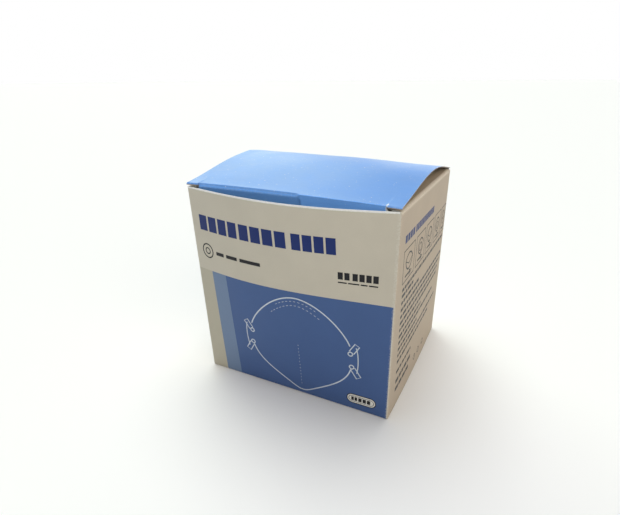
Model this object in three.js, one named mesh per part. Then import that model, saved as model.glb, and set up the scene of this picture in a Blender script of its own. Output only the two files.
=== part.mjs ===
// A tuck-top folding carton of thin coated board, empty, with its lid closed.
// Millimetres, +Z up. The origin is the centre of the underside and the front wall faces -Y.
import * as THREE from 'three';

// ---- Driving dimensions -------------------------------------------------------------------

const WIDTH = 165; // outside, left to right
const DEPTH = 145; // outside, front to back
const HEIGHT = 162; // floor to the cut edge of the front wall
const BOARD = 0.6; // board thickness
const GAP = 0.3; // free space along every crease and between stacked flaps

const CORNER_RADIUS = 1.2; // outside radius of the sleeve's upright creases
const EASED_CORNER = 1; // rounding of a flap's small corners
const FRONT_BOW = 13.1; // how far the front wall's top edge stands forward of its corners
const FRONT_BOW_FULLNESS = 1.28; // 1 leans the wall out evenly, more curves it out lower down
const RIM_SKEW = 0.12; // moves the top edge's bow to the right
const BELLY_SKEW = -0.3; // moves the wall's belly to the left
const BELLY_HEIGHT = 97; // where the belly's skew starts to turn into the rim's
const SIDE_BOW = 1; // how far each side wall's bottom edge stands out

const GLUE_FLAP_WIDTH = 15;
const GLUE_FLAP_TAPER = 12; // height of the slanted cut at each end of the glue flap
const GLUE_FLAP_FOOT = 3; // the glue flap's lower end, above the base's flaps
const GLUE_FLAP_HEAD = 1.2; // its upper end, below the side wall's top

const BOTTOM_INNER_REACH = 122; // front-to-back length of the inner bottom flap
const BOTTOM_DUST_REACH = 56; // how far each bottom dust flap reaches in from its side

const LID_SIDE_SETBACK = 0.3; // lid's side edge inside the side wall's outer face
const LID_CORNER_RISE = 2.6; // height of the lid's top face over the walls at its front corners
const LID_MIDDLE_RISE = 0.9; // further rise at the middle of the front crease
const LID_ARCH_LINEAR = 15.1; // first term of the arch from the front crease to the back one
const LID_ARCH_SQUARE = 84.6; // second term of the arch
const LID_ARCH_CUBE = -65.1; // third term of the arch
const LID_ARCH_BELLY = 3.4; // the first term's gain at the middle of the lid
const LID_LEAN_LINEAR = -4.3; // the first term's gain at the right end and loss at the left
const LID_LEAN_SQUARE = 7.9; // the same for the second term
const LID_LEAN_CUBE = -14.1; // the same for the third term

const TUCK_LENGTH = 18;
const TUCK_CREASE_HALF = 72; // half the length of the lid's front crease, between the two slits
const TUCK_WIDEST_HALF = 75.4; // half the tuck's width below the slits
const TUCK_FLARE = 4; // depth over which the tuck widens from crease to widest
const TUCK_CORNER_RADIUS = 10;
const SLIT_WIDTH = 0.6;

const DUST_REACH = 55; // how far each dust flap reaches in from its crease
const DUST_RISE = 2; // degrees that the dust flaps spring up from level
const DUST_SHOULDER = 6.2; // width of the shoulder that fills the front corner beside the tuck
const DUST_STEP = 1.7; // set-back of the front edge behind the shoulder, which clears the tuck
const DUST_FRONT_TAPER = 4; // further set-back of the front edge at the flap's free corner
const DUST_REAR_SETBACK = 4; // rear end of the crease, in front of the lid's crease
const DUST_REAR_TAPER = 26; // slant of the rear edge over the flap's reach
const DUST_CORNER_RADIUS = 8;

// ---- Worked out from them -----------------------------------------------------------------

const HALF_WIDTH = WIDTH / 2;
const HALF_DEPTH = DEPTH / 2;
const INNER_HALF_WIDTH = HALF_WIDTH - BOARD;
const INNER_HALF_DEPTH = HALF_DEPTH - BOARD;
const SIDE_WALL_TOP = HEIGHT - BOARD;
const LID_HALF_WIDTH = HALF_WIDTH - LID_SIDE_SETBACK;
const LID_BACK = HALF_DEPTH - GAP;
const TUCK_OUTER_FACE = -(INNER_HALF_DEPTH - GAP);
const TUCK_MIDDLE = TUCK_OUTER_FACE + BOARD / 2;

// ---- Materials ----------------------------------------------------------------------------

const board = (color, roughness) => new THREE.MeshStandardMaterial({ color, roughness, metalness: 0 });
const printedWall = () => board(0xd2cabd, 0.55);
const printedLid = () => board(0x9fc0ee, 0.4);
const printedTuck = () => board(0x4a76b4, 0.45);
const plainInside = () => board(0xe6e3dc, 0.8);

// ---- Closed solids from faces of points ---------------------------------------------------

// Joins two matching grids of points, grid[row][column], into one closed slab. With wrap, each
// row closes on itself and the slab is a ring.
function slab(outer, inner, wrap) {
  const rows = outer.length;
  const columns = outer[0].length;
  const positions = [...outer.flat(), ...inner.flat()].flatMap((p) => [p.x, p.y, p.z]);
  const outside = (row, column) => row * columns + (column % columns);
  const inside = (row, column) => rows * columns + outside(row, column);
  const faces = [];
  const quad = (a, b, c, d) => faces.push(a, b, c, a, c, d);
  const steps = wrap ? columns : columns - 1;
  for (let row = 0; row < rows - 1; row++) {
    for (let column = 0; column < steps; column++) {
      const next = column + 1;
      quad(outside(row, column), outside(row, next), outside(row + 1, next), outside(row + 1, column));
      quad(inside(row, column), inside(row + 1, column), inside(row + 1, next), inside(row, next));
    }
    if (!wrap) {
      const last = columns - 1;
      quad(outside(row, 0), outside(row + 1, 0), inside(row + 1, 0), inside(row, 0));
      quad(outside(row, last), inside(row, last), inside(row + 1, last), outside(row + 1, last));
    }
  }
  for (let column = 0; column < steps; column++) {
    const next = column + 1;
    const top = rows - 1;
    quad(outside(0, column), inside(0, column), inside(0, next), outside(0, next));
    quad(outside(top, column), outside(top, next), inside(top, next), inside(top, column));
  }
  const geometry = new THREE.BufferGeometry();
  geometry.setAttribute('position', new THREE.Float32BufferAttribute(positions, 3));
  geometry.setIndex(faces);
  geometry.computeVertexNormals();
  return geometry;
}

// A flat outline whose corners are rounded: each corner is { x, y, radius }, in order.
function roundedShape(corners) {
  const shape = new THREE.Shape();
  corners.forEach((corner, i) => {
    const here = new THREE.Vector2(corner.x, corner.y);
    const towards = (other) => new THREE.Vector2(other.x, other.y).sub(here);
    const before = towards(corners[(i + corners.length - 1) % corners.length]);
    const after = towards(corners[(i + 1) % corners.length]);
    const start = here.clone().add(before.setLength(corner.radius));
    const end = here.clone().add(after.setLength(corner.radius));
    if (i === 0) shape.moveTo(start.x, start.y);
    else shape.lineTo(start.x, start.y);
    if (corner.radius > 0) shape.quadraticCurveTo(here.x, here.y, end.x, end.y);
  });
  shape.closePath();
  return shape;
}

const ROUND_STEPS = 6;
const boardCut = (shape) =>
  new THREE.ExtrudeGeometry(shape, { depth: BOARD, bevelEnabled: false, curveSegments: ROUND_STEPS });

function mesh(name, geometry, material) {
  const piece = new THREE.Mesh(geometry, material);
  piece.name = name;
  return piece;
}

// ---- Sleeve -------------------------------------------------------------------------------

const SLEEVE_LEVELS = 14;
const FRONT_STEPS = 26;
const SIDE_STEPS = 8;
const CORNER_STEPS = 3;

// How far the front wall stands forward at a place across it and a height on it.
function frontBow(x, z) {
  const across = x / HALF_WIDTH;
  const up = z / HEIGHT;
  const blend = THREE.MathUtils.smoothstep(z, BELLY_HEIGHT, HEIGHT);
  const skew = THREE.MathUtils.lerp(BELLY_SKEW, RIM_SKEW, blend);
  const lean = FRONT_BOW_FULLNESS * up - (FRONT_BOW_FULLNESS - 1) * up * up;
  return FRONT_BOW * lean * Math.cos((Math.PI / 2) * across) * (1 + skew * across);
}

// How far a side wall stands out: most at the bottom edge, nothing at the top crease.
function sideBow(y, z) {
  const along = y / HALF_DEPTH;
  return SIDE_BOW * (1 - along * along) * (1 - z / HEIGHT);
}

// The plan of the sleeve, as straight sides and corner arcs, seen from above and drawn
// anticlockwise from the front left corner. Each point carries the wall it belongs to.
function sleevePlan() {
  const plan = [];
  const straightX = HALF_WIDTH - CORNER_RADIUS;
  const straightY = HALF_DEPTH - CORNER_RADIUS;
  const side = (steps, x0, y0, x1, y1, wall) => {
    for (let i = 0; i <= steps; i++) {
      const t = i / steps;
      const x = THREE.MathUtils.lerp(x0, x1, t);
      const y = THREE.MathUtils.lerp(y0, y1, t);
      plan.push({ x, y, wall });
    }
  };
  const corner = (signX, signY, turn) => {
    for (let i = 1; i < CORNER_STEPS; i++) {
      const angle = turn + ((Math.PI / 2) * i) / CORNER_STEPS;
      const nx = Math.cos(angle);
      const ny = Math.sin(angle);
      plan.push({ x: signX * straightX, y: signY * straightY, nx, ny, wall: 'corner' });
    }
  };
  side(FRONT_STEPS, -straightX, -HALF_DEPTH, straightX, -HALF_DEPTH, 'front');
  corner(1, -1, -Math.PI / 2);
  side(SIDE_STEPS, HALF_WIDTH, -straightY, HALF_WIDTH, straightY, 'right');
  corner(1, 1, 0);
  side(SIDE_STEPS, straightX, HALF_DEPTH, -straightX, HALF_DEPTH, 'back');
  corner(-1, 1, Math.PI / 2);
  side(SIDE_STEPS, -HALF_WIDTH, straightY, -HALF_WIDTH, -straightY, 'left');
  corner(-1, -1, Math.PI);
  return plan;
}

// One point of the sleeve's face, inset by 0 for the outer face or by the board for the inner.
function sleevePoint(place, z, inset) {
  if (place.wall === 'corner') {
    const radius = CORNER_RADIUS - inset;
    return new THREE.Vector3(place.x + radius * place.nx, place.y + radius * place.ny, z);
  }
  if (place.wall === 'front') {
    return new THREE.Vector3(place.x, place.y - frontBow(place.x, z) + inset, z);
  }
  if (place.wall === 'back') return new THREE.Vector3(place.x, place.y - inset, z);
  const out = Math.sign(place.x);
  return new THREE.Vector3(place.x + out * (sideBow(place.y, z) - inset), place.y, z);
}

// The walls stop at their creases: the side walls lower than the front and back ones.
const wallTop = (place) => (place.wall === 'left' || place.wall === 'right' ? SIDE_WALL_TOP : HEIGHT);

function sleeve() {
  const plan = sleevePlan();
  const level = (row, inset) =>
    plan.map((place) => sleevePoint(place, (wallTop(place) * row) / SLEEVE_LEVELS, inset));
  const rows = Array.from({ length: SLEEVE_LEVELS + 1 }, (_, row) => row);
  const outer = rows.map((row) => level(row, 0));
  const inner = rows.map((row) => level(row, BOARD));
  return mesh('sleeve', slab(outer, inner, true), printedWall());
}

// The strip glued to the inside of the left wall, along the rear left corner.
function glueFlap() {
  const rear = INNER_HALF_DEPTH - GAP - CORNER_RADIUS;
  const low = GLUE_FLAP_FOOT;
  const high = SIDE_WALL_TOP - GLUE_FLAP_HEAD;
  const free = rear - GLUE_FLAP_WIDTH;
  const shape = roundedShape([
    { x: rear, y: low, radius: 0 },
    { x: rear, y: high, radius: 0 },
    { x: free, y: high - GLUE_FLAP_TAPER, radius: EASED_CORNER },
    { x: free, y: low + GLUE_FLAP_TAPER, radius: EASED_CORNER },
  ]);
  const geometry = boardCut(shape).rotateX(Math.PI / 2).rotateZ(Math.PI / 2);
  const piece = mesh('glue_flap', geometry, plainInside());
  piece.position.x = -INNER_HALF_WIDTH + GAP;
  return piece;
}

// ---- Glued base ---------------------------------------------------------------------------

const BASE_HALF_WIDTH = INNER_HALF_WIDTH - GAP;
const BASE_HALF_DEPTH = INNER_HALF_DEPTH - GAP;
const STACK_STEP = BOARD + GAP;

function baseFlap(name, x0, x1, y0, y1, layer, material) {
  const geometry = new THREE.BoxGeometry(x1 - x0, y1 - y0, BOARD);
  const piece = mesh(name, geometry, material);
  piece.position.set((x0 + x1) / 2, (y0 + y1) / 2, layer * STACK_STEP + BOARD / 2);
  return piece;
}

function base() {
  const group = new THREE.Group();
  const w = BASE_HALF_WIDTH;
  const d = BASE_HALF_DEPTH;
  group.add(
    baseFlap('bottom_outer_flap', -w, w, -d, d, 0, printedWall()),
    baseFlap('bottom_inner_flap', -w, w, -d, -d + BOTTOM_INNER_REACH, 1, plainInside()),
    baseFlap('bottom_dust_flap_left', -w, -w + BOTTOM_DUST_REACH, -d, d, 2, plainInside()),
    baseFlap('bottom_dust_flap_right', w - BOTTOM_DUST_REACH, w, -d, d, 2, plainInside()),
  );
  return group;
}

// ---- Lid and tuck -------------------------------------------------------------------------

const LID_ROWS = 24;
const LID_COLUMNS = 12;

// Height of the lid's top face, over the plan of the carton.
function lidTop(x, y) {
  const across = x / HALF_WIDTH;
  const back = (y + HALF_DEPTH) / DEPTH;
  const front = LID_CORNER_RISE + LID_MIDDLE_RISE * (1 - across * across);
  const belly = LID_ARCH_BELLY * (1 - across * across);
  const linear = LID_ARCH_LINEAR + LID_LEAN_LINEAR * across + belly;
  const square = LID_ARCH_SQUARE + LID_LEAN_SQUARE * across;
  const cube = LID_ARCH_CUBE + LID_LEAN_CUBE * across;
  const arch = back * (linear + back * (square + back * cube));
  return HEIGHT + STACK_STEP * back + (front + arch) * (1 - back);
}

// The lid's front edge: over the front wall beside the slits, and at the crease between them.
const lidFront = (x) => (Math.abs(x) > TUCK_CREASE_HALF ? -HALF_DEPTH : TUCK_MIDDLE);

function lidColumns() {
  const slitEnd = TUCK_CREASE_HALF + SLIT_WIDTH;
  const between = Array.from({ length: LID_COLUMNS + 1 }, (_, i) =>
    THREE.MathUtils.lerp(-TUCK_CREASE_HALF, TUCK_CREASE_HALF, i / LID_COLUMNS),
  );
  return [-LID_HALF_WIDTH, -slitEnd, ...between, slitEnd, LID_HALF_WIDTH];
}

function lidPanel() {
  const columns = lidColumns();
  const rows = Array.from({ length: LID_ROWS + 1 }, (_, row) => row / LID_ROWS);
  const face = (drop) =>
    rows.map((share) =>
      columns.map((x) => {
        const y = THREE.MathUtils.lerp(lidFront(x), LID_BACK, share);
        return new THREE.Vector3(x, y, lidTop(x, y) - drop);
      }),
    );
  return mesh('lid_panel', slab(face(0), face(BOARD), false), printedLid());
}

function tuckFlap() {
  const top = (x) => lidTop(x, TUCK_MIDDLE) - BOARD - GAP;
  const bottom = HEIGHT + LID_CORNER_RISE - BOARD - TUCK_LENGTH;
  const shoulder = top(TUCK_CREASE_HALF) - TUCK_FLARE;
  const shape = roundedShape([
    { x: -TUCK_CREASE_HALF, y: top(-TUCK_CREASE_HALF), radius: 0 },
    { x: -TUCK_WIDEST_HALF, y: shoulder, radius: EASED_CORNER },
    { x: -TUCK_WIDEST_HALF, y: bottom, radius: TUCK_CORNER_RADIUS },
    { x: TUCK_WIDEST_HALF, y: bottom, radius: TUCK_CORNER_RADIUS },
    { x: TUCK_WIDEST_HALF, y: shoulder, radius: EASED_CORNER },
    { x: TUCK_CREASE_HALF, y: top(TUCK_CREASE_HALF), radius: 0 },
    { x: TUCK_CREASE_HALF / 2, y: top(TUCK_CREASE_HALF / 2), radius: 0 },
    { x: 0, y: top(0), radius: 0 },
    { x: -TUCK_CREASE_HALF / 2, y: top(-TUCK_CREASE_HALF / 2), radius: 0 },
  ]);
  const piece = mesh('tuck_flap', boardCut(shape).rotateX(Math.PI / 2), printedTuck());
  piece.position.y = TUCK_OUTER_FACE + BOARD;
  return piece;
}

// ---- Dust flaps ---------------------------------------------------------------------------

// A dust flap lies in under the lid from the crease on its side wall, sprung up a little. Side
// is -1 for the left wall and 1 for the right. Its outline is in plan, with x 0 at the crease.
function dustFlap(name, side) {
  const front = -(INNER_HALF_DEPTH - GAP);
  const rear = LID_BACK - DUST_REAR_SETBACK;
  const step = front + DUST_STEP;
  const inward = (reach) => -side * reach;
  const shape = roundedShape([
    { x: 0, y: front, radius: 0 },
    { x: inward(DUST_SHOULDER), y: front, radius: EASED_CORNER },
    { x: inward(DUST_SHOULDER + DUST_STEP), y: step, radius: EASED_CORNER },
    { x: inward(DUST_REACH), y: step + DUST_FRONT_TAPER, radius: DUST_CORNER_RADIUS },
    { x: inward(DUST_REACH), y: rear - DUST_REAR_TAPER, radius: DUST_CORNER_RADIUS },
    { x: 0, y: rear, radius: 0 },
  ]);
  const geometry = boardCut(shape);
  geometry.translate(0, 0, -BOARD / 2);
  geometry.rotateY(side * THREE.MathUtils.degToRad(DUST_RISE));
  const piece = mesh(name, geometry, printedWall());
  piece.position.set(side * (HALF_WIDTH - GAP), 0, HEIGHT);
  return piece;
}

// ---- The carton ---------------------------------------------------------------------------

const carton = new THREE.Group();
carton.add(sleeve(), glueFlap(), base());
carton.add(lidPanel(), tuckFlap());
carton.add(dustFlap('dust_flap_left', -1), dustFlap('dust_flap_right', 1));

export default carton;
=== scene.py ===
# Looks of a tuck-top folding carton of coated board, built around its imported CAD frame.
# Sizes here are millimetres in the frame's axes; make_piece turns them into metres.
import math
import random

import bpy
from mathutils import Matrix, Vector


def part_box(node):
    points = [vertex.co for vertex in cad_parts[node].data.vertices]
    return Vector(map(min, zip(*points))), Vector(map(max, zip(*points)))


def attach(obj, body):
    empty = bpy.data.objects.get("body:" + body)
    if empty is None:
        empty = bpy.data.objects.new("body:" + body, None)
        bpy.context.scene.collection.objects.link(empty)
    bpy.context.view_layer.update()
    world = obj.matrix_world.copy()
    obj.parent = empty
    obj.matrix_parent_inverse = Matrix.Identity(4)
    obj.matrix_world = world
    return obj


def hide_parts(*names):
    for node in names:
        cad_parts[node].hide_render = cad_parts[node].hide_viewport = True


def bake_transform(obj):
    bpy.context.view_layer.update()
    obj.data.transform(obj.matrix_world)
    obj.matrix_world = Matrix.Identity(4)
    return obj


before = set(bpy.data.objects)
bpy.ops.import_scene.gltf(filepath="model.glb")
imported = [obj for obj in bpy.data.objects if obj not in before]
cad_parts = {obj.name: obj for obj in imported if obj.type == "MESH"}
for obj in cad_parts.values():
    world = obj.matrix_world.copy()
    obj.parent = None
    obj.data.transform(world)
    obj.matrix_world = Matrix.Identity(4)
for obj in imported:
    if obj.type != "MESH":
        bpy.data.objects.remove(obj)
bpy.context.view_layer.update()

MM = 0.001

# ---- Sizes read from the frame ----


def node_box(node):
    low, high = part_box(node)
    return low / MM, high / MM


CLEARANCE = 0.3  # free space that every crease leaves
BASE_LOW, BASE_HIGH = node_box("bottom_outer_flap")
SLEEVE_LOW, SLEEVE_HIGH = node_box("sleeve")
LID_SOLID_REAR = node_box("lid_panel")[1].y
TUCK_LOW, TUCK_HIGH = node_box("tuck_flap")
DUST_LOW, DUST_HIGH = node_box("dust_flap_right")

BOARD = BASE_HIGH.z - BASE_LOW.z
HALF_WIDTH = BASE_HIGH.x + CLEARANCE + BOARD
HALF_DEPTH = BASE_HIGH.y + CLEARANCE + BOARD
HEIGHT = SLEEVE_HIGH.z
DEPTH = 2 * HALF_DEPTH
FRONT_BOW = -SLEEVE_LOW.y - HALF_DEPTH
SIDE_BOW = SLEEVE_HIGH.x - HALF_WIDTH
TUCK_FACE = TUCK_LOW.y
TUCK_BOTTOM = TUCK_LOW.z
TUCK_HALF = TUCK_HIGH.x
DUST_FRONT = DUST_LOW.y
DUST_REAR = DUST_HIGH.y
DUST_CREASE = HALF_WIDTH - CLEARANCE
DUST_REACH = DUST_CREASE - DUST_LOW.x

# ---- Sizes of the visible finish ----

CORNER_RADIUS = 1.2  # upright creases
FOOT_RADIUS = 1.0  # bottom edges
SIDE_CREASE_RADIUS = 2.2  # soft bend from a side wall into its dust flap
REAR_CREASE_DROP = 2.0  # height of the back wall's part of the lid's rear bend
REAR_CREASE_RUN = 3.0  # the lid's part of it
SLIT_INNER = 72.0  # the slits between the lid's front crease and its corners
SLIT_OUTER = 72.6
FRONT_CREASE_BACK = 0.9  # the lid's part of the front crease, behind the tuck's face
FRONT_CREASE_DROP = 0.9  # the tuck's part of it
BEVEL_START = 2.0  # the lid's second, unscored bend lies this far behind the tuck's face
BEVEL_SLOPE = 0.95  # fall for each millimetre in front of that bend
FRONT_SINK = 0.4  # how far the lid's front crease sinks between the slits
FRONT_SINK_REACH = (52, 71)  # how far in front of the middle that starts and is complete
BEVEL_END = 12.0  # where across the lid that bend runs out
BEVEL_ROUND = 5.0  # length of its rounded end
RAISED_PRINT = 0.04  # ink films stand this far off the board
SUNK_PRINT = 0.06  # and reach this far into it
FILM_STEP = 3  # the longest stretch of a film between two of its points
RING_SIDES = 32
SHARP_ANGLE = math.radians(38)


def lerp(a, b, t):
    return a + (b - a) * t


def smoothstep(x, low, high):
    t = min(1.0, max(0.0, (x - low) / (high - low)))
    return t * t * (3 - 2 * t)


def spaced(low, high, step, edges=()):
    """Positions from low to high about a step apart, with closer ones beside both ends."""
    inside = max(1, round((high - low) / step))
    places = {round(lerp(low, high, i / inside), 4) for i in range(1, inside)}
    for edge in edges:
        places |= {round(low + edge, 4), round(high - edge, 4)}
    return [low] + sorted(p for p in places if low + 0.001 < p < high - 0.001) + [high]


# ---- The carton's surfaces ----

BOW_FULLNESS = 1.28  # 1 leans the front wall out evenly, more curves it out lower down
RIM_SKEW = 0.12  # moves the rim's bow to the right
BELLY_SKEW = -0.3  # moves the wall's belly to the left
BELLY_HEIGHT = 97.0  # where the belly's skew starts to turn into the rim's


def front_bow(x, z):
    """How far the front wall stands forward."""
    across = x / HALF_WIDTH
    up = z / HEIGHT
    skew = lerp(BELLY_SKEW, RIM_SKEW, smoothstep(z, BELLY_HEIGHT, HEIGHT))
    lean = BOW_FULLNESS * up - (BOW_FULLNESS - 1) * up * up
    return FRONT_BOW * lean * math.cos(math.pi / 2 * across) * (1 + skew * across)


def side_bow(y, z):
    """How far a side wall stands out."""
    along = y / HALF_DEPTH
    return SIDE_BOW * max(0.0, 1 - along * along) * max(0.0, 1 - z / HEIGHT)


LID_FRONT_RISE = 2.6  # the lid's height over the walls at its front corners
LID_MIDDLE_RISE = 0.9  # and further at the middle of its front crease
LID_REAR_RISE = 0.9  # and over the walls at its rear crease
# Terms of the arch from the front crease to the rear one, then what each gains at the right
# end and loses at the left, and what the first gains at the middle of the lid.
LID_ARCH = (15.1, 84.6, -65.1)
LID_ARCH_LEAN = (-4.3, 7.9, -14.1)
LID_ARCH_BELLY = 3.4
LID_CORNER_LIFT = 1.5  # how far the lid's left edge stands up at its crest
LID_CORNER_BACK = 0.57  # the crest's share of the way back
LID_CORNER_SPREAD = 0.1
WAVES = ((0.16, 19, 31, 0), (0.12, 11, -17, 2))  # height, length across and back, phase
WAVE_FADE = 20  # the waves fade out over this length at both creases


def lid_arch(x, y):
    """Height of the lid's top face, without its small waves and its front bend."""
    across = x / HALF_WIDTH
    back = (y + HALF_DEPTH) / DEPTH
    front = LID_FRONT_RISE + LID_MIDDLE_RISE * (1 - across * across)
    linear, square, cube = (term + lean * across for term, lean in zip(LID_ARCH, LID_ARCH_LEAN))
    linear += LID_ARCH_BELLY * (1 - across * across)
    arch = back * (linear + back * (square + back * cube))
    from_crest = abs(back - LID_CORNER_BACK)
    kink = LID_CORNER_LIFT * smoothstep(-across, 0.86, 1.0) * math.exp(-from_crest / LID_CORNER_SPREAD)
    return HEIGHT + LID_REAR_RISE * back + (front + arch) * (1 - back) + kink


def lid_top(x, y):
    """Height of the lid's top face with the waves of handled board and its front bend."""
    fade = smoothstep(y, TUCK_FACE, TUCK_FACE + WAVE_FADE)
    fade *= smoothstep(-y, -LID_SOLID_REAR, -LID_SOLID_REAR + WAVE_FADE)
    wave = sum(height * math.sin(x / across + y / back + phase) for height, across, back, phase in WAVES)
    slant = max(0.0, TUCK_FACE + bevel_width(x) - y) * BEVEL_SLOPE
    sink = FRONT_SINK * smoothstep(-y, *FRONT_SINK_REACH) * (abs(x) <= SLIT_INNER)
    return lid_arch(x, y) + wave * fade - slant - sink


def bevel_width(x):
    """How far behind the tuck's face the lid's second front bend lies, or 0 beyond its end."""
    if x > BEVEL_END or x < -SLIT_INNER:
        return 0.0
    past = max(0.0, x - BEVEL_END + BEVEL_ROUND) / BEVEL_ROUND
    return BEVEL_START * math.sqrt(1 - past * past)


# ---- Meshes ----


def make_piece(name, points, flats, wear_and_highlights, faces, places, materials):
    """A mesh object from millimetre points, with the flat board coordinates its finish uses."""
    mesh = bpy.data.meshes.new(name)
    mesh.from_pydata([tuple(c * MM for c in p) for p in points], [], faces)
    flat = mesh.attributes.new("flat", "FLOAT_VECTOR", "POINT")
    flat.data.foreach_set("vector", [c for f in flats for c in f])
    wear_and_highlight = mesh.attributes.new("wear_and_highlight", "FLOAT", "POINT")
    wear_and_highlight.data.foreach_set("value", wear_and_highlights)
    for material in materials:
        mesh.materials.append(material)
    mesh.polygons.foreach_set("material_index", places)
    mesh.shade_smooth()
    mesh.set_sharp_from_angle(angle=SHARP_ANGLE)
    mesh.update()
    piece = bpy.data.objects.new(name, mesh)
    bpy.context.scene.collection.objects.link(piece)
    return piece


PRINTED, INSIDE, EDGE = 0, 1, 2  # the first three material places of every board
LID_PLACE = 3  # the rear crease's fourth
PALE_PLACE, LIGHT_PLACE, PANEL_PLACE, TURNED_PLACE = 3, 4, 5, 6  # the sleeve's further four


def board_piece(name, us, span, shares, place, inks, wear_and_highlight, ink_of=None, wrap=False):
    """A closed sheet of board. Columns lie at us, and rows at shares of the way along span(u).

    place(u, v, depth) gives a point: depth 0 is the printed face, BOARD the plain one. inks are
    the materials of the printed face, the inside and the cut edge, then any further inks, and
    ink_of(u, v) picks one for a patch of the printed face. wear_and_highlight(u, v) runs from 0
    to 1: worn board, and on some pieces a painted highlight along lit edges and creases.
    """
    points, flats, wear_and_highlights = [], [], []
    for depth in (0.0, BOARD):
        for share in shares:
            for u in us:
                v = lerp(*span(u), share)
                points.append(place(u, v, depth))
                flats.append((u, v, depth))
                wear_and_highlights.append(wear_and_highlight(u, v))
    columns, rows = len(us), len(shares)
    layer = rows * columns
    faces, places = [], []

    def outside(row, column):
        return row * columns + column % columns

    def quad(ink, a, b, c, d):
        faces.append((a, b, c, d))
        places.append(ink)

    steps = columns if wrap else columns - 1
    for row in range(rows - 1):
        for column in range(steps):
            a, b = outside(row, column), outside(row, column + 1)
            c, d = outside(row + 1, column + 1), outside(row + 1, column)
            middle_u = (flats[a][0] + flats[b][0]) / 2
            middle_v = (flats[a][1] + flats[d][1]) / 2
            ink = ink_of(middle_u, middle_v) if ink_of else PRINTED
            quad(ink, a, b, c, d)
            quad(INSIDE, a + layer, d + layer, c + layer, b + layer)
        if not wrap:
            a, d = outside(row, 0), outside(row + 1, 0)
            quad(EDGE, a, d, d + layer, a + layer)
            a, d = outside(row, columns - 1), outside(row + 1, columns - 1)
            quad(EDGE, a, a + layer, d + layer, d)
    for column in range(steps):
        a, b = outside(0, column), outside(0, column + 1)
        quad(EDGE, a, a + layer, b + layer, b)
        a, b = outside(rows - 1, column), outside(rows - 1, column + 1)
        quad(EDGE, a, b, b + layer, a + layer)
    return make_piece(name, points, flats, wear_and_highlights, faces, places, inks)


class PrintFilm:
    """Thin films of one ink on one face, gathered into one piece."""

    def __init__(self, place, lift=RAISED_PRINT):
        self.place = place
        self.lift = lift
        self.points = []
        self.flats = []
        self.faces = []

    def ribbon(self, path, width, closed=False):
        """A stroke along path; width is one number or one for each point of it."""
        widths = width if isinstance(width, list) else [width] * len(path)
        count = len(path)
        first = len(self.points)
        for i, (a, b) in enumerate(path):
            before = path[(i - 1) % count] if closed or i > 0 else path[i]
            after = path[(i + 1) % count] if closed or i < count - 1 else path[i]
            along = Vector((after[0] - before[0], after[1] - before[1])).normalized()
            across = Vector((-along.y, along.x)) * widths[i] / 2
            for side, depth in ((1, -self.lift), (-1, -self.lift), (-1, SUNK_PRINT), (1, SUNK_PRINT)):
                u, v = a + side * across.x, b + side * across.y
                self.points.append(self.place(u, v, depth))
                self.flats.append((u, v, depth))
        steps = count if closed else count - 1
        for i in range(steps):
            here = first + 4 * i
            there = first + 4 * ((i + 1) % count)
            for k in range(4):
                n = (k + 1) % 4
                self.faces.append((here + k, here + n, there + n, there + k))
        if not closed:
            last = first + 4 * (count - 1)
            self.faces.append((first + 3, first + 2, first + 1, first))
            self.faces.append((last, last + 1, last + 2, last + 3))

    def block(self, left, right, low, high):
        """A filled rectangle."""
        middle = (low + high) / 2
        steps = max(1, math.ceil((right - left) / FILM_STEP))
        self.ribbon([(lerp(left, right, i / steps), middle) for i in range(steps + 1)], high - low)

    def frame(self, left, right, low, high, width):
        """A rectangular outline."""
        half = width / 2
        for middle in (high, low):
            self.block(left - half, right + half, middle - half, middle + half)
        steps = max(1, math.ceil((high - low) / FILM_STEP))
        for x in (left, right):
            path = [(x, lerp(low + half, high - half, i / steps)) for i in range(steps + 1)]
            self.ribbon(path, width)

    def pill(self, left, right, low, high):
        """A filled bar with round ends."""
        radius = (high - low) / 2
        middle = (high + low) / 2
        turns = [math.pi * i / 16 for i in range(1, 16)]
        xs = [left + radius - radius * math.cos(t / 2) for t in turns]
        xs += spaced(left + radius, right - radius, FILM_STEP)
        xs += [right - radius + radius * math.sin(t / 2) for t in turns]
        widths = []
        for x in xs:
            past = max(0.0, left + radius - x, x - right + radius)
            widths.append(2 * math.sqrt(max(0.001, radius * radius - past * past)))
        self.ribbon([(x, middle) for x in xs], widths)

    def ring(self, x, z, radius, width):
        turns = [math.tau * i / RING_SIDES for i in range(RING_SIDES)]
        path = [(x + radius * math.cos(turn), z + radius * math.sin(turn)) for turn in turns]
        self.ribbon(path, width, closed=True)

    def piece(self, name, material):
        wear_and_highlights = [0.0] * len(self.points)
        places = [0] * len(self.faces)
        return make_piece(name, self.points, self.flats, wear_and_highlights, self.faces, places, [material])


# ---- Materials ----


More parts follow.
